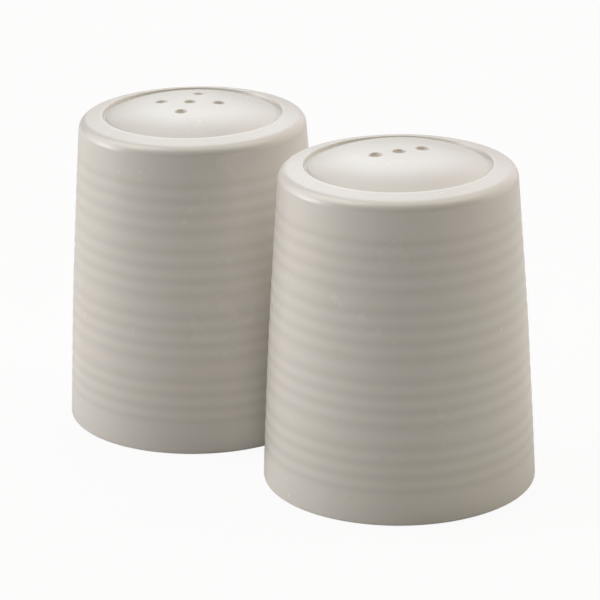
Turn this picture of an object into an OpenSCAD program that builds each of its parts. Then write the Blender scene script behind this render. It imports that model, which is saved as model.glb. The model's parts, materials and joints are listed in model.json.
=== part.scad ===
// A pair of slip-cast porcelain shakers for salt and pepper, each closed from below by a
// soft stopper. Both have the same wall and foot. The pepper shaker has five pour holes,
// and the salt shaker has three larger ones and a slightly higher crown.
// Millimetres, +Z up. The origin is on the table, midway between the two shakers.

/* [Body] */
// Outside diameter of the wall just above the foot
base_d = 62; // [56:0.5:68]
// Outside diameter of the wall just below the shoulder
shoulder_d = 53.4; // [50:0.2:57]
// Height of the shoulder, where the top begins
shoulder_h = 73.4; // [70:0.2:80]
// Radius of the rounded shoulder
shoulder_round = 2.6; // [1.6:0.1:2.8]
// How far the wall bows out at half height
wall_bow = 0.35; // [0:0.05:0.8]
// Thickness of the fired wall and of the top
wall_t = 3; // [2.4:0.1:3.4]

/* [Ribs] */
// Height of the lowest groove above the table
rib_start = 8.1; // [6:0.1:9]
// Height of one group of ribs: three narrow ones and a wide one
rib_group_h = 15.25; // [14.6:0.05:15.4]
// Height of a narrow rib in the lowest group
rib_pitch = 3.3; // [3:0.05:3.4]
// How much taller the narrow ribs get from one group to the next
rib_growth = 0.09; // [0:0.01:0.12]
// Depth of the grooves between the ribs
rib_depth = 0.15; // [0.05:0.05:0.5]

/* [Top] */
// Diameter of the rim's inner edge, the highest line of the sloping top band
rim_d = 42; // [41.8:0.1:44]
// How far the rim's inner edge stands above the shoulder
rim_rise = 0.75; // [0.4:0.05:1.2]
// Radius of the dome, where it meets the moat
dome_r = 20.4; // [18.5:0.1:20.4]
// Height of the pepper shaker's crown above the rim
pepper_crown_h = 2.45; // [1.5:0.05:4.5]
// Height of the salt shaker's crown above the rim
salt_crown_h = 2.85; // [1.5:0.05:4.5]
// Depth of the moat between the dome and the rim
moat_depth = 0.6; // [0.4:0.1:1.4]

/* [Pour holes] */
// Diameter of the pepper holes
pepper_hole_d = 2.4; // [1.5:0.1:3]
// Distance of the side pepper holes from the middle one
pepper_side_r = 6.8; // [5:0.1:8.5]
// Distance of the front and back pepper holes from the middle one
pepper_front_r = 7.6; // [5:0.1:8.5]
// Turn of the pepper holes round the dome
pepper_turn = -7; // [-45:1:45]
// How far the front-to-back row of pepper holes leans from square to the side row
pepper_lean = 7.5; // [0:0.5:15]
// How far the pepper holes were punched off the middle, to the right
pepper_shift_x = -0.5; // [-1:0.1:1]
// How far the pepper holes were punched off the middle, to the back
pepper_shift_y = 0.3; // [-1:0.1:1]
// Diameter of the salt holes
salt_hole_d = 2.7; // [1.5:0.1:3.4]
// Distance between neighbouring salt holes
salt_pitch = 5.65; // [4:0.05:7.5]
// Turn of the row of salt holes round the dome
salt_turn = 22; // [-90:1:90]
// How far the salt holes were punched off the middle, to the right
salt_shift_x = 0.2; // [-1:0.1:1]
// How far the salt holes were punched off the middle, to the back
salt_shift_y = -0.3; // [-1:0.1:1]

/* [Foot and filler] */
// Width of the ring that the shaker stands on
foot_w = 3; // [2:0.1:4]
// How far the underside is set up from the table
recess_h = 2.6; // [2.2:0.1:3.4]
// Thickness of the floor
floor_t = 3.6; // [3:0.1:4.5]
// Diameter of the filler hole
filler_d = 20; // [16:0.5:23]

/* [Stopper] */
// Diameter of the stopper's flange
flange_d = 25; // [24.5:0.5:30]
// Thickness of the flange
flange_t = 1.4; // [1:0.1:1.6]
// Radial clearance of the seated plug in the filler hole
plug_gap = 0.05; // [0.02:0.01:0.1]
// Height of the plug above the flange
plug_h = 6.4; // [5.6:0.1:8]
// Thickness of the plug's wall
plug_t = 1.6; // [1.2:0.1:2]
// Width of the bar that is gripped to pull the stopper out
pull_w = 2.4; // [1.6:0.1:3]

/* [Pair] */
// Distance between the axes of the two shakers
pair_pitch = 63.2; // [63.2:0.1:90]
// Direction from the pepper shaker to the salt shaker
pair_turn = -42.4; // [-90:0.1:90]

/* [Hidden] */

porcelain = [0.90, 0.88, 0.85];
soft_plastic = [0.93, 0.92, 0.88];

base_r = base_d / 2;
shoulder_r = shoulder_d / 2;
rim_r = rim_d / 2;
rim_h = shoulder_h + rim_rise;
filler_r = filler_d / 2;
plug_r = filler_r - plug_gap;

// the rounded lower edge of the wall, and the straight part of the wall above it
foot_in = 1.7;
foot_rise = 0.7;
foot_chamfer = 0.6;
wall_top = shoulder_h - shoulder_round;
foot_outer_r = base_r - foot_in;
foot_inner_r = foot_outer_r - foot_w;

// the ribs: four groups, each with four grooves
rib_groups = 4;
grooves_per_group = 4;
rib_fade = 2;
bead_steps = 2;

// the top band runs straight from the rim's inner edge and into the rounded shoulder
band_reach = shoulder_r - shoulder_round - rim_r;
band_climb = shoulder_round + rim_rise;
band_slope = acos(shoulder_round / norm([band_reach, band_climb])) - atan2(band_reach, band_climb);

// the dome's outline, which is flat at the crown and steepest at its edge
crown_power = 3;
moat_floor_w = 0.2;
rim_round = 0.3;

// the chamber's rounded corners, and the share of the dome's radius where its ceiling ends
chamber_round = 5;
ceiling_share = 0.6;
corner_steps = 5;

// the stopper's fine dimensions
seat_gap = 0.05;
plug_tip_h = 2;
plug_tip_in = 0.7;
membrane_t = 1.4;
joint_overlap = 0.01;
outer_facets = 160;
hole_facets = 32;

// Radius of the plain wall at height z, before the ribs are pressed into it.
function wall_r(z) =
    let (t = (z - foot_rise) / (wall_top - foot_rise))
    base_r + (shoulder_r - base_r) * t + 4 * wall_bow * t * (1 - t);

// Height of groove j of rib group k.
function groove_z(k, j) = rib_start + k * rib_group_h + j * (rib_pitch + k * rib_growth);

grooves = [for (k = [0:rib_groups - 1], j = [0:grooves_per_group - 1]) groove_z(k, j)];
last = len(grooves) - 1;

// Depth of a rib's face below the plain wall: s runs from 0 at its lower groove to 1 at its upper.
function bead(s) = rib_depth * pow(2 * s - 1, 2);

// A quarter of an ellipse round (cx, cy), between two angles.
function corner(cx, cy, rx, ry, from, to) =
    [for (i = [0:corner_steps]) let (a = from + (to - from) * i / corner_steps)
        [cx + rx * cos(a), cy + ry * sin(a)]];

// The ribbed wall, from the foot to the shoulder.
function wall_outline() = [
    [wall_r(grooves[0] - rib_fade), grooves[0] - rib_fade],
    for (i = [0:last - 1], k = [0:bead_steps - 1])
        let (s = k / bead_steps, z = grooves[i] + s * (grooves[i + 1] - grooves[i]))
        [wall_r(z) - bead(s), z],
    [wall_r(grooves[last]) - rib_depth, grooves[last]],
    [wall_r(grooves[last] + rib_fade), grooves[last] + rib_fade]
];

// Height of the dome's outer face at radius r.
function dome_z(r, crown_h) =
    rim_h - moat_depth
    + (crown_h + moat_depth) * (1 - pow(r / dome_r, crown_power));

// Radii at which the dome's outline is drawn: closer together towards its edge.
dome_steps = 10;
dome_radii = [for (i = [0:dome_steps]) dome_r * cos(90 * i / dome_steps)];

// The rim's inner edge, the moat and the dome, from the rim to the axis.
function top_outline(crown_h) = [
    [rim_r, rim_h],
    [rim_r - rim_round, rim_h - rim_round],
    [dome_r + moat_floor_w, rim_h - moat_depth],
    for (r = dome_radii) [r, dome_z(r, crown_h)]
];

// The inside of the body, from the axis under the dome to the filler hole.
function chamber_outline(crown_h) =
    let (
        top = shoulder_h - wall_t,
        low = recess_h + floor_t,
        mid = (top + low) / 2,
        c = chamber_round,
        ceiling_r = ceiling_share * dome_r
    )
    concat(
        [[0, dome_z(0, crown_h) - wall_t], [ceiling_r, dome_z(ceiling_r, crown_h) - wall_t]],
        corner(wall_r(top) - wall_t - c, top - c, c, c, 90, 0),
        [[wall_r(mid) - wall_t, mid]],
        corner(wall_r(low) - wall_t - c, low + c, c, c, 0, -90),
        [[filler_r, low]]
    );

// The underside: the filler hole's edge, the recess and the inside of the foot ring.
function foot_outline() = [
    [filler_r, recess_h],
    [foot_inner_r - foot_chamfer, recess_h],
    [foot_inner_r, 0]
];

module shell(crown_h) {
    rotate_extrude($fn = outer_facets)
        polygon(concat(
            foot_outline(),
            corner(foot_outer_r, foot_rise, foot_in, foot_rise, -90, 0),
            wall_outline(),
            corner(shoulder_r - shoulder_round, wall_top, shoulder_round, shoulder_round, 0, 90 - band_slope),
            top_outline(crown_h),
            chamber_outline(crown_h)
        ));
}

// One vertical pour hole through the top at distance r from the middle of the pattern.
module pour_hole(r, d) {
    translate([r, 0, rim_h - 2 * wall_t]) cylinder(h = 4 * wall_t, d = d, $fn = hole_facets);
}

// A cross of five holes, punched by hand and so not quite square or in the middle.
module pepper_holes() {
    translate([pepper_shift_x, pepper_shift_y, 0]) rotate(pepper_turn) {
        pour_hole(0, pepper_hole_d);
        for (side = [-1, 1]) {
            pour_hole(side * pepper_side_r, pepper_hole_d);
            rotate(90 - pepper_lean) pour_hole(side * pepper_front_r, pepper_hole_d);
        }
    }
}

// Three holes in a row.
module salt_holes() {
    translate([salt_shift_x, salt_shift_y, 0]) rotate(salt_turn)
        for (i = [-1:1]) pour_hole(i * salt_pitch, salt_hole_d);
}

// A hollow plug with a flange below the floor and a grip bar inside its open lower end.
module stopper() {
    seat_z = recess_h - seat_gap;
    foot_z = seat_z - flange_t;
    membrane_z = seat_z + plug_h / 2;
    hollow_r = plug_r - plug_t;
    rotate_extrude($fn = outer_facets)
        polygon([
            [hollow_r, foot_z],
            [flange_d / 2 - foot_chamfer, foot_z],
            [flange_d / 2, foot_z + foot_chamfer],
            [flange_d / 2, seat_z],
            [plug_r, seat_z],
            [plug_r, seat_z + plug_h - plug_tip_h],
            [plug_r - plug_tip_in, seat_z + plug_h],
            [hollow_r, seat_z + plug_h]
        ]);
    translate([0, 0, membrane_z])
        cylinder(h = membrane_t, r = hollow_r + joint_overlap, $fn = outer_facets);
    translate([-hollow_r, -pull_w / 2, foot_z])
        cube([2 * hollow_r, pull_w, membrane_z + joint_overlap - foot_z]);
}

// Stands its children on one of the two shakers' axes: side is -1 for pepper and 1 for salt.
module stand(side) {
    translate(side * pair_pitch / 2 * [cos(pair_turn), sin(pair_turn), 0]) children();
}

module pepper_body() {
    color(porcelain) stand(-1) difference() { shell(pepper_crown_h); pepper_holes(); }
}

module pepper_stopper() { color(soft_plastic) stand(-1) stopper(); }

module salt_body() {
    color(porcelain) stand(1) difference() { shell(salt_crown_h); salt_holes(); }
}

module salt_stopper() { color(soft_plastic) stand(1) stopper(); }

pepper_body();
pepper_stopper();
salt_body();
salt_stopper();
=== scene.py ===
import json
import math

import bmesh
import bpy
import numpy as np
from mathutils import Matrix, Vector, noise
from mathutils.geometry import delaunay_2d_cdt

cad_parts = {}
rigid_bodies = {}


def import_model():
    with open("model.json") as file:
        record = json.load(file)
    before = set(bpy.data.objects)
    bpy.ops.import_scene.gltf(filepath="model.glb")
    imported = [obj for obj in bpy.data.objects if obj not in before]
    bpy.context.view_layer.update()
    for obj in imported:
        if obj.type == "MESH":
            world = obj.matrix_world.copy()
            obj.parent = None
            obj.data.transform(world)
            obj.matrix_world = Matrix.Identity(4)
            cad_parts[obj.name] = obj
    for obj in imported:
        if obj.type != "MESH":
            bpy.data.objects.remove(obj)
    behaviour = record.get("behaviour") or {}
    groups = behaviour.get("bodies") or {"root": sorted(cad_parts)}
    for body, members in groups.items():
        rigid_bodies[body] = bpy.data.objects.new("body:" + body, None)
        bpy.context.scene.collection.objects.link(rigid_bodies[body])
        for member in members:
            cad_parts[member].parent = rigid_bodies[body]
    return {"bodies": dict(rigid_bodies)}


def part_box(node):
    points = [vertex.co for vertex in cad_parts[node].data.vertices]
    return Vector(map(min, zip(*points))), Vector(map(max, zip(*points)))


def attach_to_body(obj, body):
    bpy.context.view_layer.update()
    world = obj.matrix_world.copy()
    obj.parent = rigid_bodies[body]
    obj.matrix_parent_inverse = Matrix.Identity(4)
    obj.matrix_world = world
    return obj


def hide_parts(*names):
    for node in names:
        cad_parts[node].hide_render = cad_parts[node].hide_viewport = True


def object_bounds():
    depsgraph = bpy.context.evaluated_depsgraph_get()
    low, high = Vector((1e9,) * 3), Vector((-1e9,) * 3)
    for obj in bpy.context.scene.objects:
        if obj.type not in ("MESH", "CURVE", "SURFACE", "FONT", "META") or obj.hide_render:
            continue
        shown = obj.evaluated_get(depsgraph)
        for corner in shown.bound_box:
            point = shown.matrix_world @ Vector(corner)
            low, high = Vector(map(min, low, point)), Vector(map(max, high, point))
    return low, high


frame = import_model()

CAD_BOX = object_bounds()
MM = 0.001

# ---- Outline of the shakers, in millimetres from the table and from each shaker's axis ----
BASE_R = 31.0
SHOULDER_R, SHOULDER_H, SHOULDER_ROUND = 26.7, 73.4, 2.6
WALL_T, WALL_BOW = 3.0, 0.35
FOOT_IN, FOOT_RISE, FOOT_W, FOOT_ROUND = 1.7, 0.7, 3.0, 0.5
RECESS_H, FLOOR_T, FILLER_R = 2.6, 3.6, 10.0
FILLER_LIP, FILLER_EDGE, RECESS_ROUND, RECESS_COVE = 0.6, 0.35, 0.9, 1.5
RIM_R, RIM_RISE, RIM_ROUND = 21.0, 0.75, 0.22
DOME_R, MOAT_DEPTH, MOAT_FLOOR_W = 20.4, 0.8, 0.2
CROWN_POWER = 3.0
CHAMBER_ROUND, CEILING_SHARE = 5.0, 0.6
BARE_BAND, MOAT_ROUND = 0.25, 0.15

# ---- Ribs ----
RIB_START, RIB_GROUP_H, RIB_PITCH, RIB_GROWTH, RIB_DEPTH = 8.1, 15.25, 3.3, 0.09, 0.06
RIB_GROUPS, GROOVES_PER_GROUP, RIB_FADE = 4, 4, 2.0
RIB_UNEVEN, RIB_UNEVEN_SCALE, RIB_SHARPNESS = 0.35, (14, 14, 3), 1.3

# ---- The bodies' unevenness: how far, how large, the heights it grows between, and its seed ----
WARP, WARP_SCALE, WARP_START, WARP_FULL = 0.09, 22.0, 8.0, 22.0
WARP_SEED = 11

# ---- Pour holes: each shaker's hole diameter and the holes' places round its axis ----
PEPPER_HOLE_D, PEPPER_SIDE_R, PEPPER_FRONT_R = 2.4, 6.8, 7.6
PEPPER_TURN, PEPPER_LEAN, PEPPER_SHIFT = -7.0, 7.5, (-0.5, 0.3)
SALT_HOLE_D, SALT_PITCH, SALT_TURN, SALT_SHIFT = 2.7, 5.65, 22.0, (0.2, -0.3)
HOLE_ROUND = 0.45

# ---- The mesh round a hole: rings this far outside its edge, and then the gap up to other points ----
TOP_RINGS, TOP_GAP, UNDER_RING, UNDER_GAP = (0.15, 0.35), 0.55, 0.4, 0.7

# ---- Stopper ----
FLANGE_R, FLANGE_T, SEAT_GAP = 12.5, 1.4, 0.05
PLUG_R, PLUG_H, PLUG_T = 9.95, 6.4, 1.6
PLUG_TIP_H, PLUG_TIP_IN, MEMBRANE_T, PULL_W = 2.0, 0.7, 1.4, 2.4
PLUG_WAVES, PLUG_WAVE_DEPTH, PLUG_TIP_POWER = 2.5, 0.22, 1.3
CUP_ROUND, MOUTH_ROUND, FLANGE_ROUND, FLANGE_TOP_ROUND = 0.7, 0.4, 0.6, 0.3
NECK_ROUND, TIP_ROUND, MEMBRANE_ROUND = 0.25, 0.3, 0.5
BAR_SET_IN, BAR_RIDGE_PITCH, BAR_RIDGE_DEPTH = 0.3, 1.5, 0.22
BAR_SQUARENESS, BAR_STEPS, BAR_SECTION, SHARP_ANGLE = 0.35, 120, 32, 50

# ---- Colours, as linear light, and finish ----
GLAZE_ROSY, GLAZE_GREY = (0.800, 0.770, 0.735), (0.790, 0.778, 0.735)
# The second colour on the next line is the darker glaze of the grooves and the moat: pooled glaze and
# painted shade in the rib grooves, painted shade in the moat.
GLAZE_THIN, GLAZE_POOL_AND_SHADE = (0.810, 0.785, 0.750), (0.640, 0.620, 0.570)
# Next line: how much of the darker glaze is mixed in, the moat's painted shade (darkest at its floor),
# and how far in from the rim that painted shade reaches, in mm.
POOL_AND_SHADE_TINT, MOAT_SHADE, MOAT_SHADE_REACH = 0.35, 2.5, 0.4
# The second colour on the next line is painted light: a glow on the inside surfaces of the chamber, its
# ceiling and the hole walls, standing in for light that gets in through the holes and the porcelain.
SPECK, PAINTED_INSIDE_LIGHT = (0.45, 0.38, 0.30), (0.13, 0.11, 0.09)
CLAY_DARK, CLAY_PALE = (0.62, 0.585, 0.53), (0.74, 0.71, 0.66)
GLAZE_ROUGH, BARE_ROUGH, GLOSS = 0.36, 0.5, (0.20, 0.28)
GLAZE_DEPTH, GLAZE_DEPTH_SHARE = 0.0012, 0.12
PLASTIC_COOL, PLASTIC_WARM = (0.80, 0.80, 0.76), (0.83, 0.81, 0.74)
PLASTIC_ROUGH, PLASTIC_DEPTH, PLASTIC_DEPTH_SHARE = (0.38, 0.52), 0.0015, 0.35

# ---- Patterns in the glaze and the plastic, in repeats per metre, and their heights in metres ----
DRIFT, CLOUD, SHEEN, PEEL, GRAIN = 22, 140, 90, 420, 2600
CLOUD_SHARE, PEEL_H, GRAIN_H = 0.35, 0.000012, 0.00006
SPECK_CELLS, SPECK_SIZE, SPECK_CHOICE, SPECK_SHARE = 420.0, (0.06, 0.1), (0.86, 0.87), 0.3
PLASTIC_CLOUD, PLASTIC_SATIN, PLASTIC_GRAIN, PLASTIC_GRAIN_H = 160, 700, 3200, 0.00002

# ---- Floor: the light under a shaker ends UNDER_EDGE mm inside its wall; FLOOR_HALF is in metres ----
FLOOR_COLOUR, FLOOR_GLOW, FLOOR_WHITE_SHARE = (0.72, 0.71, 0.69), 1.0, 0.93
FLOOR_ROUGH, UNDER_GLOW, UNDER_EDGE, FLOOR_HALF = 0.85, 0.45, 1.0, 2.0

# ---- Studio: each soft box's azimuths from the viewer and elevations in degrees, strength, colour ----
BOX_SOFTNESS = 9
STUDIO = {
    "left_box": (-105, -80, -8, 46, 1.85, (1.0, 0.96, 0.98)),
    "left_box_foot": (-105, -80, -8, 20, 3.2, (1.0, 1.0, 0.92)),
    "left_wing": (-130, -105, -8, 46, 1.5, (1.0, 0.93, 0.96)),
    "left_high": (-130, -58, 46, 70, 2.9, (1.0, 0.98, 0.92)),
    "right_box": (80, 130, -8, 46, 1.2, (1.0, 0.90, 0.77)),
    "right_high": (60, 130, 46, 70, 2.1, (1.0, 0.97, 0.84)),
    "backdrop_right": (130, 165, -8, 49, 0.95, (1.0, 0.92, 0.94)),
    "backdrop_foot": (165, 195, -8, 20, 0.52, (1.0, 0.98, 0.97)),
    "backdrop": (165, 195, 20, 49, 1.68, (0.90, 0.95, 1.0)),
    "backdrop_left": (195, 230, -8, 49, 0.14, (1.0, 1.0, 1.0)),
    "backdrop_high": (130, 230, 49, 70, 0.7, (1.0, 0.98, 1.0)),
    "overhead": (-200, 200, 70, 110, 1.25, (1.0, 0.93, 0.88)),
}

# ---- Camera: degrees down, degrees tilted, metres away, millimetres from the middle, lens ----
CAMERA_PITCH, CAMERA_ROLL, CAMERA_DISTANCE = 19.81, -0.854, 0.7061
CAMERA_AIM, CAMERA_LENS, CAMERA_SENSOR = (1.2, -0.7, -3.65), 182.965, 36.0
CAMERA_REACH = (0.05, 20.0)

# ---- How finely the meshes are drawn, and how close two points are when they count as one ----
SEGMENTS = 256
STOPPER_SEGMENTS = 160
BEAD_STEPS = 11
CROWN_GRID = 0.34
HOLE_SEGMENTS = 40
INSIDE_RING = 0.995
RING_TURN = 0.7
HOLE_STEPS = 8
MERGE_GAP = 0.002


def polar(middle, r, degrees):
    a = math.radians(degrees)
    return (middle[0] + r * math.cos(a), middle[1] + r * math.sin(a))


def pepper_holes():
    """A cross of five holes, punched by hand and so not quite square or in the middle."""
    front = PEPPER_TURN - PEPPER_LEAN + 90
    sides = [polar(PEPPER_SHIFT, PEPPER_SIDE_R, PEPPER_TURN + a) for a in (0, 180)]
    ends = [polar(PEPPER_SHIFT, PEPPER_FRONT_R, front + a) for a in (0, 180)]
    return [PEPPER_SHIFT] + sides + ends


def salt_holes():
    """Three holes in a row."""
    return [polar(SALT_SHIFT, side * SALT_PITCH, SALT_TURN) for side in (-1, 0, 1)]


# ---- The body ----
class Shaker:
    """One shaker's place and sizes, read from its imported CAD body, with its outline as functions."""

    def __init__(self, node, holes, hole_d):
        low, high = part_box(node)
        self.axis = Vector(((low.x + high.x) / 2, (low.y + high.y) / 2, 0.0))
        self.base_r = (high.x - low.x) / 2 / MM
        self.crown_z = high.z / MM
        self.holes = holes
        self.hole_r = hole_d / 2

    def wall_r(self, z):
        t = (z - FOOT_RISE) / (SHOULDER_H - SHOULDER_ROUND - FOOT_RISE)
        return self.base_r + (SHOULDER_R - self.base_r) * t + 4 * WALL_BOW * t * (1 - t)

    def dome_z(self, r):
        moat = SHOULDER_H + RIM_RISE - MOAT_DEPTH
        return moat + (self.crown_z - moat) * (1 - (r / DOME_R) ** CROWN_POWER)


def arc(cx, cy, rx, ry, start, end, steps):
    """Points on a quarter or half ellipse, from one angle to another in degrees."""
    angles = np.radians(np.linspace(start, end, steps + 1))
    return [(cx + rx * math.cos(a), cy + ry * math.sin(a)) for a in angles]


def corner(cx, cy, r, start, end, steps):
    """Points on part of a circle, from one angle to another in degrees."""
    return arc(cx, cy, r, r, start, end, steps)


def groove_heights():
    return [
        RIB_START + k * RIB_GROUP_H + j * (RIB_PITCH + k * RIB_GROWTH)
        for k in range(RIB_GROUPS)
        for j in range(GROOVES_PER_GROUP)
    ]


def rib_rows():
    """(height, how deep the rib's face lies, as a share of the groove's depth) up the ribbed wall."""
    z = groove_heights()
    rows = [(z[0] - RIB_FADE * (1 - t), t * t) for t in np.linspace(0, 1, 7)]
    for low, high in zip(z[:-1], z[1:]):
        for s in np.linspace(0, 1, BEAD_STEPS + 1)[1:]:
            depth = (0.5 + 0.5 * math.cos(2 * math.pi * s)) ** RIB_SHARPNESS
            rows.append((low + (high - low) * s, depth))
    rows += [(z[-1] + RIB_FADE * t, (1 - t) ** 2) for t in np.linspace(0, 1, 7)[1:]]
    return rows


def inside_outline(shaker):
    """From the ceiling's inner ring down the chamber's wall to the filler hole's upper edge."""
    top, low = SHOULDER_H - WALL_T, RECESS_H + FLOOR_T
    ceiling_r = CEILING_SHARE * DOME_R
    c = CHAMBER_ROUND
    points = [(ceiling_r, shaker.dome_z(ceiling_r) - WALL_T)]
    points += corner(shaker.wall_r(top) - WALL_T - c, top - c, c, 90, 0, 8)
    points += [(shaker.wall_r(z) - WALL_T, z) for z in np.linspace(top - c, low + c, 20)[1:-1]]
    points += corner(shaker.wall_r(low) - WALL_T - c, low + c, c, 0, -90, 8)
    points += corner(FILLER_R + FILLER_LIP, low - FILLER_LIP, FILLER_LIP, 90, 180, 4)
    return points


def underside_outline():
    """From the filler hole out under the recess and round the inside of the foot ring."""
    foot_outer = BASE_R - FOOT_IN
    foot_inner = foot_outer - FOOT_W
    top, edge = RECESS_H + FLOOR_T - 2 * FILLER_LIP, FILLER_EDGE
    points = [(FILLER_R, z) for z in np.linspace(top, RECESS_H + FILLER_LIP, 3)]
    points += corner(FILLER_R + edge, RECESS_H + edge, edge, 180, 270, 4)
    points += [(r, RECESS_H) for r in np.linspace(FILLER_R + RECESS_COVE, foot_inner - 2.0, 6)]
    points += corner(foot_inner - RECESS_COVE, RECESS_H - RECESS_ROUND, RECESS_ROUND, 90, 0, 5)
    points += corner(foot_inner + FOOT_ROUND - 0.1, FOOT_ROUND, FOOT_ROUND, 180, 270, 5)
    points += [(r, 0.0) for r in np.linspace(foot_inner + 1.0, foot_outer, 4)]
    return points


def top_outline(shaker, dome_edge_r):
    """The shoulder, the sloping band, the rim's inner edge, the moat and the dome's edge."""
    rim_h, c = SHOULDER_H + RIM_RISE, SHOULDER_ROUND
    reach, climb = SHOULDER_R - c - RIM_R, c + RIM_RISE
    slope = math.degrees(math.acos(c / math.hypot(reach, climb)) - math.atan2(reach, climb))
    points = corner(SHOULDER_R - c, SHOULDER_H - c, c, 0, 90 - slope, 16)[1:]
    band_end = (RIM_R + RIM_ROUND, rim_h - RIM_ROUND * math.tan(math.radians(slope)))
    start = points[-1]
    points += [
        (start[0] + (band_end[0] - start[0]) * t, start[1] + (band_end[1] - start[1]) * t)
        for t in np.linspace(0, 1, 7)[1:]
    ]
    points += corner(band_end[0], band_end[1] - RIM_ROUND, RIM_ROUND, 90 - slope, 165, 7)[1:]
    moat_z = rim_h - MOAT_DEPTH
    points += corner(DOME_R + MOAT_FLOOR_W, moat_z + MOAT_ROUND, MOAT_ROUND, -25, -90, 5)
    points += corner(DOME_R, moat_z + MOAT_ROUND, MOAT_ROUND, -90, -110, 2)
    for r in np.linspace(DOME_R - MOAT_FLOOR_W, dome_edge_r, 28):
        points.append((r, shaker.dome_z(r)))
    return points


def revolve(rows, segments):
    """Grid of vertices round the axis and the quads between them, for a list of (r, z) rows."""
    angles = np.linspace(0, 2 * math.pi, segments, endpoint=False)
    ring = np.stack([np.cos(angles), np.sin(angles)], 1)
    vertices = [(r * x, r * y, z) for r, z in rows for x, y in ring]
    faces = []
    for i in range(len(rows) - 1):
        for j in range(segments):
            k = (j + 1) % segments
            a, b = i * segments, (i + 1) * segments
            faces.append((a + j, a + k, b + k, b + j))
    return vertices, faces


def hole_ring(x, y, r, count=HOLE_SEGMENTS):
    return [
        (x + r * math.cos(t), y + r * math.sin(t))
        for t in np.linspace(0, 2 * math.pi, count, endpoint=False)
    ]


def pierced_disc(radius, holes, rings, height, clear):
    """Triangles over a disc with round holes. rings are (radius, drop) pairs round each hole, the
    smallest one being the hole's edge. height(r) is the disc's height before the drop, and no other
    point comes within clear of a hole's middle. The triangles inside a hole's edge are left out."""
    points, heights = [], []

    def add(x, y, drop=0.0):
        points.append(Vector((x, y)))
        heights.append(height(math.hypot(x, y)) - drop)

    for x, y in hole_ring(0, 0, radius, SEGMENTS):
        add(x, y)
    for hx, hy in holes:
        for r, drop in rings:
            for x, y in hole_ring(hx, hy, r):
                add(x, y, drop)
    steps = int(radius / CROWN_GRID)
    for i in range(steps):
        r = radius * i / steps
        count = max(1, round(2 * math.pi * r / CROWN_GRID))
        for t in np.arange(count) * 2 * math.pi / count + i * RING_TURN:
            x, y = r * math.cos(t), r * math.sin(t)
            if all(math.hypot(x - hx, y - hy) > clear for hx, hy in holes):
                add(x, y)
    places, _, triangles, sources = delaunay_2d_cdt(points, [], [], 0, 1e-7)[:4]
    edge = min(r for r, _ in rings) * INSIDE_RING
    faces = []
    for triangle in triangles:
        cx = sum(places[v].x for v in triangle) / 3
        cy = sum(places[v].y for v in triangle) / 3
        if all(math.hypot(cx - hx, cy - hy) > edge for hx, hy in holes):
            faces.append(tuple(sources[v][0] for v in triangle))
    return [(p.x, p.y, z) for p, z in zip(points, heights)], faces


def warp(p):
    """The small unevenness of a cast and fired piece, which fades out towards the foot."""
    fade = min(1.0, max(0.0, (p[2] - WARP_START) / (WARP_FULL - WARP_START))) * WARP
    push = noise.noise_vector(Vector(p) / WARP_SCALE)
    return (p[0] + push.x * fade, p[1] + push.y * fade, p[2] - abs(push.z) * fade)


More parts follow.
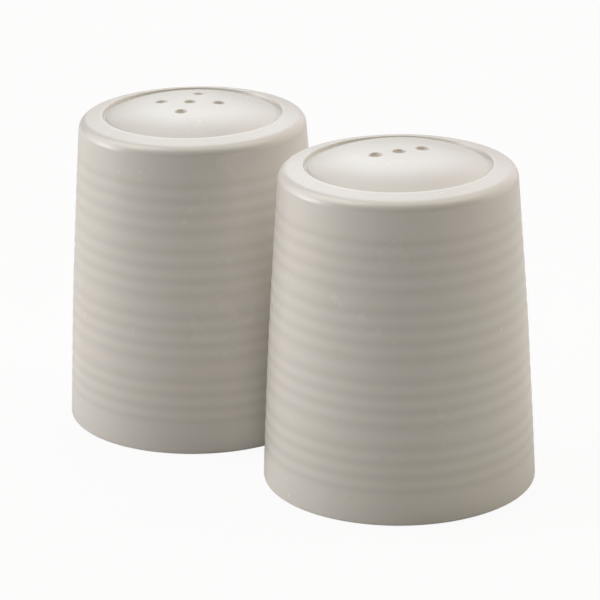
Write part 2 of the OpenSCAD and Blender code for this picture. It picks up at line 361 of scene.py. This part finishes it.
def build_body(shaker, name, body, material):
    """The glazed shell. Each row of its outline is (r, z, how darkened the glaze is, how bare): pooled
    glaze and painted shade in the rib grooves, painted shade in the moat.
    """
    crown_r = CEILING_SHARE * DOME_R
    ribs = rib_rows()
    wall_start, wall_end = ribs[0][0], ribs[-1][0]
    rows = [(r, z, 0.0, 0.0) for r, z in inside_outline(shaker)]
    chamber = len(rows)
    rows += [(r, z, 0.0, 1.0 if z < BARE_BAND else 0.0) for r, z in underside_outline()]
    foot = arc(shaker.base_r - FOOT_IN, FOOT_RISE, FOOT_IN, FOOT_RISE, -90, 0, 8)[1:]
    rows += [(r, z, 0.0, 1.0 if z < BARE_BAND * 0.5 else 0.0) for r, z in foot]
    rows += [(shaker.wall_r(z), z, 0.0, 0.0) for z in np.linspace(FOOT_RISE, wall_start, 14)[1:-1]]
    first_rib = len(rows)
    rows += [(shaker.wall_r(z), z, d, 0.0) for z, d in ribs]
    last_rib = len(rows)
    band = np.linspace(wall_end, SHOULDER_H - SHOULDER_ROUND, 10)[1:]
    rows += [(shaker.wall_r(z), z, 0.0, 0.0) for z in band]
    moat_z = SHOULDER_H + RIM_RISE - MOAT_DEPTH
    for r, z in top_outline(shaker, crown_r):
        # Painted shade in the moat: its walls and floor are darkened, most at the floor.
        near = DOME_R - MOAT_SHADE_REACH < r < RIM_R
        rows.append((r, z, MOAT_SHADE * (1 - (z - moat_z) / MOAT_DEPTH) if near else 0.0, 0.0))
    vertices, faces = revolve([(r, z) for r, z, _, _ in rows], SEGMENTS)
    pool_and_shade = [p for _, _, p, _ in rows for _ in range(SEGMENTS)]
    bare = [b for _, _, _, b in rows for _ in range(SEGMENTS)]
    # inside marks the chamber, the ceiling and the hole walls, which get a painted glow of light.
    inside = [1.0 if i < chamber * SEGMENTS else 0.0 for i in range(len(vertices))]

    for i in range(first_rib * SEGMENTS, last_rib * SEGMENTS):
        x, y, z = vertices[i]
        place = Vector([p / scale for p, scale in zip((x, y, z), RIB_UNEVEN_SCALE)])
        uneven = 1 + RIB_UNEVEN * noise.noise(place)
        r = math.hypot(x, y)
        shrink = 1 - RIB_DEPTH * uneven * pool_and_shade[i] / r
        vertices[i] = (x * shrink, y * shrink, z)

    def attach(disc, within):
        start = len(vertices)
        vertices.extend(disc[0])
        faces.extend(tuple(start + v for v in f) for f in disc[1])
        pool_and_shade.extend([0.0] * len(disc[0]))
        bare.extend([0.0] * len(disc[0]))
        inside.extend([within] * len(disc[0]))

    f, hole_r = HOLE_ROUND, shaker.hole_r
    mouth = [
        (hole_r + f * (1 - math.cos(a)), f * (1 - math.sin(a)))
        for a in np.radians((0, 18, 36, 54, 72, 90))
    ]
    mouth += [(hole_r + f + w, 0.0) for w in TOP_RINGS]
    clear = hole_r + f + TOP_GAP
    attach(pierced_disc(crown_r, shaker.holes, mouth, shaker.dome_z, clear), 0.0)

    def ceiling(r):
        return shaker.dome_z(r) - WALL_T

    under = [(hole_r, 0.0), (hole_r + UNDER_RING, 0.0)]
    attach(pierced_disc(crown_r, shaker.holes, under, ceiling, hole_r + UNDER_GAP), 1.0)

    for hx, hy in shaker.holes:
        ring = hole_ring(hx, hy, hole_r)
        tops = [shaker.dome_z(math.hypot(x, y)) - f for x, y in ring]
        ends = [ceiling(math.hypot(x, y)) for x, y in ring]
        grid = [
            (x, y, a + (b - a) * s / HOLE_STEPS)
            for s in range(HOLE_STEPS + 1)
            for (x, y), a, b in zip(ring, tops, ends)
        ]
        n = len(ring)
        quads = [
            (s * n + j, s * n + (j + 1) % n, (s + 1) * n + (j + 1) % n, (s + 1) * n + j)
            for s in range(HOLE_STEPS)
            for j in range(n)
        ]
        attach((grid, quads), 1.0)

    vertices = [warp(p) for p in vertices]
    marks = {"pool_and_shade": pool_and_shade, "bare": bare, "inside": inside}
    return finish_mesh(name, body, vertices, faces, shaker.axis, material, marks)


def finish_mesh(name, body, vertices, faces, axis, material, attributes):
    """Joins the vertices that meet, turns the faces outwards and rides the piece on its body."""
    mesh = bpy.data.meshes.new(name)
    mesh.from_pydata([(Vector(v) * MM + axis)[:] for v in vertices], [], faces)
    for key, values in attributes.items():
        layer = mesh.attributes.new(key, "FLOAT", "POINT")
        layer.data.foreach_set("value", np.array(values, np.float32))
    bm = bmesh.new()
    bm.from_mesh(mesh)
    bmesh.ops.remove_doubles(bm, verts=bm.verts, dist=MERGE_GAP * MM)
    bmesh.ops.recalc_face_normals(bm, faces=bm.faces)
    bm.to_mesh(mesh)
    bm.free()
    mesh.shade_smooth()
    piece = bpy.data.objects.new(name, mesh)
    bpy.context.scene.collection.objects.link(piece)
    piece.data.materials.append(material)
    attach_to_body(piece, body)
    return piece


# ---- The stopper ----
def stopper_rows():
    """The stopper's outline from its membrane's underside round the flange and plug to its top."""
    seat = RECESS_H - SEAT_GAP
    foot = seat - FLANGE_T
    hollow = PLUG_R - PLUG_T
    under = seat + PLUG_H / 2
    top = seat + PLUG_H
    rows = [(0.0, under), (hollow * 0.5, under)]
    rows += corner(hollow - CUP_ROUND, under - CUP_ROUND, CUP_ROUND, 90, 0, 5)
    rows += [(hollow, z) for z in np.linspace(under - CUP_ROUND - 0.2, foot + MOUTH_ROUND + 0.2, 5)]
    rows += corner(hollow + MOUTH_ROUND, foot + MOUTH_ROUND, MOUTH_ROUND, 180, 270, 4)
    rows += corner(FLANGE_R - FLANGE_ROUND, foot + FLANGE_ROUND, FLANGE_ROUND, 270, 360, 5)
    rows += corner(FLANGE_R - FLANGE_TOP_ROUND, seat - FLANGE_TOP_ROUND, FLANGE_TOP_ROUND, 0, 90, 3)
    rows += corner(PLUG_R + NECK_ROUND, seat, NECK_ROUND, 270, 180, 3)
    straight = np.linspace(seat + NECK_ROUND + 0.1, top - PLUG_TIP_H, 24)
    for z in straight:
        share = (z - straight[0]) / (straight[-1] - straight[0])
        wave = 0.5 - 0.5 * math.cos(2 * math.pi * PLUG_WAVES * share)
        rows.append((PLUG_R - PLUG_WAVE_DEPTH * wave, z))
    for t in np.linspace(0.2, 0.85, 5):
        rows.append((PLUG_R - PLUG_TIP_IN * t ** PLUG_TIP_POWER, top - PLUG_TIP_H * (1 - t)))
    rows += corner(PLUG_R - PLUG_TIP_IN - TIP_ROUND, top - TIP_ROUND, TIP_ROUND, 30, 90, 3)
    rows += corner(hollow + NECK_ROUND, top - NECK_ROUND, NECK_ROUND, 90, 180, 3)
    web = under + MEMBRANE_T
    rows += [(hollow, z) for z in np.linspace(top - 2 * NECK_ROUND, web + MEMBRANE_ROUND + 0.1, 4)]
    rows += corner(hollow - MEMBRANE_ROUND, web + MEMBRANE_ROUND, MEMBRANE_ROUND, 0, -90, 4)
    rows += [(hollow * 0.5, web), (0.0, web)]
    return rows


def grip_bar():
    """The ridged bar across the stopper's hollow, as a closed mesh."""
    seat = RECESS_H - SEAT_GAP
    low, high = seat - FLANGE_T + BAR_SET_IN, seat + PLUG_H / 2 + MEMBRANE_T / 2
    reach = PLUG_R - PLUG_T / 2
    stations = np.linspace(-reach, reach, BAR_STEPS + 1)
    section = []
    for a in np.linspace(0, 2 * math.pi, BAR_SECTION, endpoint=False):
        c, s = math.cos(a), math.sin(a)
        u, v = math.copysign(abs(c) ** BAR_SQUARENESS, c), math.copysign(abs(s) ** BAR_SQUARENESS, s)
        section.append((u, v))
    vertices, faces = [], []
    for x in stations:
        ridge = 0.5 + 0.5 * math.cos(2 * math.pi * x / BAR_RIDGE_PITCH)
        half = PULL_W / 2 - BAR_RIDGE_DEPTH * (1 - ridge)
        for u, v in section:
            vertices.append((x, half * u, (low + high) / 2 + (high - low) / 2 * v))
    n = len(section)
    for i in range(BAR_STEPS):
        for j in range(n):
            k = (j + 1) % n
            faces.append((i * n + j, i * n + k, (i + 1) * n + k, (i + 1) * n + j))
    faces.append(tuple(range(n)))
    faces.append(tuple(range(BAR_STEPS * n, (BAR_STEPS + 1) * n)))
    return vertices, faces


def stopper(axis, name, body, material):
    """The round stopper with its grip bar, joined into one closed mesh."""
    vertices, faces = revolve(stopper_rows(), STOPPER_SEGMENTS)
    plug = finish_mesh(name, body, vertices, faces, axis, material, {})
    vertices, faces = grip_bar()
    bar = finish_mesh(name + "_bar", body, vertices, faces, axis, material, {})
    union = plug.modifiers.new("bar", "BOOLEAN")
    union.operation, union.solver, union.object = "UNION", "EXACT", bar
    shapes = bpy.context.evaluated_depsgraph_get()
    joined = bpy.data.meshes.new_from_object(plug.evaluated_get(shapes))
    plug.modifiers.clear()
    plug.data = joined
    bpy.data.objects.remove(bar)
    joined.shade_smooth()
    joined.set_sharp_from_angle(angle=math.radians(SHARP_ANGLE))
    return plug


# ---- Materials ----
class Nodes:
    """A small helper that adds and links the nodes of one material or world."""

    def __init__(self, owner, shader, output):
        owner.use_nodes = True
        self.owner = owner
        self.tree = owner.node_tree
        self.shader = self.tree.nodes[shader]
        self.output = self.tree.nodes[output]

    def add(self, kind, inputs=None, **settings):
        node = self.tree.nodes.new(kind)
        for key, value in settings.items():
            setattr(node, key, value)
        for key, value in (inputs or {}).items():
            self.put(node, key, value)
        return node

    def put(self, node, key, value):
        """Links a socket or sets a plain value on one input."""
        if isinstance(value, bpy.types.NodeSocket):
            self.tree.links.new(value, node.inputs[key])
        else:
            node.inputs[key].default_value = value

    def place(self):
        return self.add("ShaderNodeTexCoord").outputs["Object"]

    def noise(self, scale, detail=2.0, roughness=0.5):
        inputs = {"Vector": self.place(), "Scale": scale, "Detail": detail, "Roughness": roughness}
        return self.add("ShaderNodeTexNoise", inputs).outputs["Fac"]

    def attribute(self, name):
        return self.add("ShaderNodeAttribute", attribute_name=name).outputs["Fac"]

    def span(self, value, low, high, to_low=0.0, to_high=1.0):
        """The value from low to high, mapped to another range and held at its ends."""
        inputs = {"Value": value, "From Min": low, "From Max": high, "To Min": to_low, "To Max": to_high}
        return self.add("ShaderNodeMapRange", inputs).outputs["Result"]

    def mix(self, share, first, second):
        """Two colours mixed."""
        node = self.add("ShaderNodeMix", data_type="RGBA")
        self.put(node, 0, share)
        self.put(node, 6, first)
        self.put(node, 7, second)
        return node.outputs[2]

    def math(self, operation, first, second=0.0):
        return self.add("ShaderNodeMath", {0: first, 1: second}, operation=operation).outputs[0]

    def bump(self, height, distance, strength=1.0):
        inputs = {"Height": height, "Distance": distance, "Strength": strength}
        return self.add("ShaderNodeBump", inputs).outputs["Normal"]


def material_nodes(name):
    return Nodes(bpy.data.materials.new(name), "Principled BSDF", "Material Output")


def porcelain():
    """Warm white glaze: softly glossy, darker in the rib grooves (pooled glaze and painted shade) and in
    the moat (painted shade), with a bare ring under the foot and a painted glow on the inside surfaces.
    """
    n = material_nodes("porcelain_glaze")
    drift = n.span(n.noise(DRIFT, 2), 0.35, 0.65)
    glaze = n.mix(drift, (*GLAZE_ROSY, 1), (*GLAZE_GREY, 1))
    cloud = n.span(n.noise(CLOUD, 4, 0.6), 0.3, 0.7, 0.0, CLOUD_SHARE)
    glaze = n.mix(cloud, glaze, (*GLAZE_THIN, 1))
    # Darker glaze in the rib grooves and the moat: pooled glaze and painted shade in the grooves,
    # painted shade in the moat.
    pool_and_shade = n.attribute("pool_and_shade")
    glaze = n.mix(n.math("MULTIPLY", pool_and_shade, POOL_AND_SHADE_TINT), glaze, (*GLAZE_POOL_AND_SHADE, 1))
    cells = n.add("ShaderNodeTexVoronoi", {"Vector": n.place(), "Scale": SPECK_CELLS})
    dot = n.span(cells.outputs["Distance"], *SPECK_SIZE, 1.0, 0.0)
    draw = n.add("ShaderNodeSeparateColor", {0: cells.outputs["Color"]}).outputs[0]
    chosen = n.span(draw, *SPECK_CHOICE)
    speck = n.math("MULTIPLY", n.math("MULTIPLY", dot, chosen), SPECK_SHARE)
    glaze = n.mix(speck, glaze, (*SPECK, 1))
    grain = n.noise(GRAIN, 3, 0.7)
    bare = n.attribute("bare")
    clay = n.mix(n.span(grain, 0.35, 0.65), (*CLAY_DARK, 1), (*CLAY_PALE, 1))
    n.put(n.shader, "Base Color", n.mix(bare, glaze, clay))
    n.put(n.shader, "Roughness", n.math("ADD", GLAZE_ROUGH, n.math("MULTIPLY", bare, BARE_ROUGH)))
    n.put(n.shader, "Coat Roughness", n.span(n.noise(SHEEN, 3), 0.3, 0.7, *GLOSS))
    n.put(n.shader, "Coat Weight", n.math("SUBTRACT", 1.0, bare))
    n.put(n.shader, "Subsurface Weight", GLAZE_DEPTH_SHARE)
    n.put(n.shader, "Subsurface Radius", (1.0, 0.8, 0.6))
    n.put(n.shader, "Subsurface Scale", GLAZE_DEPTH)
    # Painted light: the inside surfaces glow a little, standing in for light that gets in through the
    # holes and the porcelain.
    n.put(n.shader, "Emission Color", (*PAINTED_INSIDE_LIGHT, 1))
    n.put(n.shader, "Emission Strength", n.attribute("inside"))
    n.owner.cycles.emission_sampling = "NONE"
    n.put(n.shader, "Coat Normal", n.bump(n.noise(PEEL, 2), PEEL_H))
    n.put(n.shader, "Normal", n.bump(n.math("MULTIPLY", grain, bare), GRAIN_H))
    return n.owner


def soft_plastic():
    """Milky, slightly see-through moulded plastic with a fine satin grain."""
    n = material_nodes("soft_plastic")
    cloud = n.span(n.noise(PLASTIC_CLOUD, 3), 0.3, 0.7)
    n.put(n.shader, "Base Color", n.mix(cloud, (*PLASTIC_COOL, 1), (*PLASTIC_WARM, 1)))
    n.put(n.shader, "Roughness", n.span(n.noise(PLASTIC_SATIN, 3), 0.3, 0.7, *PLASTIC_ROUGH))
    n.put(n.shader, "Subsurface Weight", PLASTIC_DEPTH_SHARE)
    n.put(n.shader, "Subsurface Radius", (1.0, 0.95, 0.8))
    n.put(n.shader, "Subsurface Scale", PLASTIC_DEPTH)
    n.put(n.shader, "IOR", 1.45)
    n.put(n.shader, "Normal", n.bump(n.noise(PLASTIC_GRAIN, 3, 0.6), PLASTIC_GRAIN_H, 0.6))
    return n.owner


# ---- Stage, light and camera ----
def floor_material():
    """Near white to the camera with a faint shadow, pale to the light, and clear from below. It lights
    the shakers' undersides a little, as a pale table lit from below does, without showing the glow."""
    n = material_nodes("floor")
    n.owner.cycles.emission_sampling = "NONE"
    under = 0.0
    for shaker in (PEPPER, SALT):
        ends = {0: n.place(), 1: tuple(shaker.axis)}
        away = n.add("ShaderNodeVectorMath", ends, operation="DISTANCE").outputs["Value"]
        under = n.math("ADD", under, n.math("LESS_THAN", away, (shaker.base_r - UNDER_EDGE) * MM))
    n.put(n.shader, "Base Color", (*FLOOR_COLOUR, 1))
    n.put(n.shader, "Roughness", FLOOR_ROUGH)
    n.put(n.shader, "Specular IOR Level", 0.1)
    white = n.add("ShaderNodeEmission", {"Color": (1, 1, 1, 1), "Strength": FLOOR_GLOW})
    path = n.add("ShaderNodeLightPath")
    unseen = n.math("MULTIPLY", n.math("SUBTRACT", 1.0, path.outputs["Is Camera Ray"]), UNDER_GLOW)
    n.put(n.shader, "Emission Color", (1, 1, 1, 1))
    n.put(n.shader, "Emission Strength", n.math("MULTIPLY", under, unseen))
    seen = n.math("MULTIPLY", path.outputs["Is Camera Ray"], FLOOR_WHITE_SHARE)
    mixed = n.add("ShaderNodeMixShader", {0: seen, 1: n.shader.outputs[0], 2: white.outputs[0]})
    clear = n.add("ShaderNodeBsdfTransparent")
    back = n.add("ShaderNodeNewGeometry").outputs["Backfacing"]
    below = n.math("MULTIPLY", back, path.outputs["Is Camera Ray"])
    whole = n.add("ShaderNodeMixShader", {0: below, 1: mixed.outputs[0], 2: clear.outputs[0]})
    n.tree.links.new(whole.outputs[0], n.output.inputs["Surface"])
    return n.owner


def make_floor():
    """A plain floor that sinks with the lowest body, so that a stopper pulled down stays in sight."""
    half = FLOOR_HALF
    corners = [(-half, -half, 0), (half, -half, 0), (half, half, 0), (-half, half, 0)]
    mesh = bpy.data.meshes.new("floor")
    mesh.from_pydata(corners, [], [(0, 1, 2, 3)])
    floor = bpy.data.objects.new("floor", mesh)
    bpy.context.scene.collection.objects.link(floor)
    floor.data.materials.append(floor_material())
    driver = floor.driver_add("location", 2).driver
    driver.type = "MIN"
    for body, empty in frame["bodies"].items():
        variable = driver.variables.new()
        variable.name = "z_" + body
        variable.type = "TRANSFORMS"
        variable.targets[0].id = empty
        variable.targets[0].transform_type = "LOC_Z"
        variable.targets[0].transform_space = "WORLD_SPACE"


def studio():
    """Soft boxes round the object, painted on the world with blurred edges. The camera sees white."""
    n = Nodes(bpy.data.worlds.new("studio"), "Background", "World Output")
    way = n.add("ShaderNodeSeparateXYZ", {0: n.add("ShaderNodeTexCoord").outputs["Generated"]})
    x, y, z = way.outputs
    azimuth = n.math("ARCTAN2", x, n.math("MULTIPLY", y, -1.0))
    elevation = n.math("ARCSINE", z)
    soft = math.radians(BOX_SOFTNESS)
    light = (0.0, 0.0, 0.0)
    for west, east, low, high, strength, colour in STUDIO.values():
        half = math.radians(east - west) / 2
        off = n.math("ABSOLUTE", n.math("SUBTRACT", azimuth, math.radians(west + east) / 2))
        off = n.math("MINIMUM", off, n.math("SUBTRACT", 2 * math.pi, off))
        low, high = math.radians(low), math.radians(high)
        share = n.math("MULTIPLY", n.span(off, half + soft, half - soft), strength)
        share = n.math("MULTIPLY", share, n.span(elevation, low - soft, low + soft))
        share = n.math("MULTIPLY", share, n.span(elevation, high + soft, high - soft))
        added = {0: colour, 1: share, 2: light}
        light = n.add("ShaderNodeVectorMath", added, operation="MULTIPLY_ADD").outputs[0]
    seen = n.add("ShaderNodeLightPath").outputs["Is Camera Ray"]
    n.put(n.shader, "Color", n.mix(seen, light, (1, 1, 1, 1)))
    bpy.context.scene.world = n.owner


def make_camera(centre):
    """A long lens from a little above, at the usual angle of a product photograph."""
    pitch, roll = math.radians(CAMERA_PITCH), math.radians(CAMERA_ROLL)
    aim = centre + Vector(CAMERA_AIM) * MM
    ahead = Vector((0, math.cos(pitch), -math.sin(pitch)))
    right = Vector((1, 0, 0))
    up = Vector((0, math.sin(pitch), math.cos(pitch)))
    across = math.cos(roll) * right + math.sin(roll) * up
    upward = -math.sin(roll) * right + math.cos(roll) * up
    data = bpy.data.cameras.new("camera")
    data.lens, data.sensor_width = CAMERA_LENS, CAMERA_SENSOR
    camera = bpy.data.objects.new("camera", data)
    turn = Matrix((across, upward, -ahead)).transposed().to_4x4()
    camera.matrix_world = Matrix.Translation(aim - ahead * CAMERA_DISTANCE) @ turn
    data.clip_start, data.clip_end = CAMERA_REACH
    bpy.context.scene.collection.objects.link(camera)
    bpy.context.scene.camera = camera


PEPPER = Shaker("pepper_body", pepper_holes(), PEPPER_HOLE_D)
SALT = Shaker("salt_body", salt_holes(), SALT_HOLE_D)
GLAZE, PLASTIC = porcelain(), soft_plastic()
noise.seed_set(WARP_SEED)

for kind, shaker in (("pepper", PEPPER), ("salt", SALT)):
    piece = build_body(shaker, kind + "_body_glazed", kind + "_shaker", GLAZE)
    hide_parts(kind + "_body")
    plug = stopper(shaker.axis, kind + "_stopper_soft", kind + "_stopper", PLASTIC)
    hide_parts(kind + "_stopper")

CENTRE = (CAD_BOX[0] + CAD_BOX[1]) / 2
make_floor()
make_camera(CENTRE)
studio()
bpy.context.scene.view_settings.view_transform = "Standard"
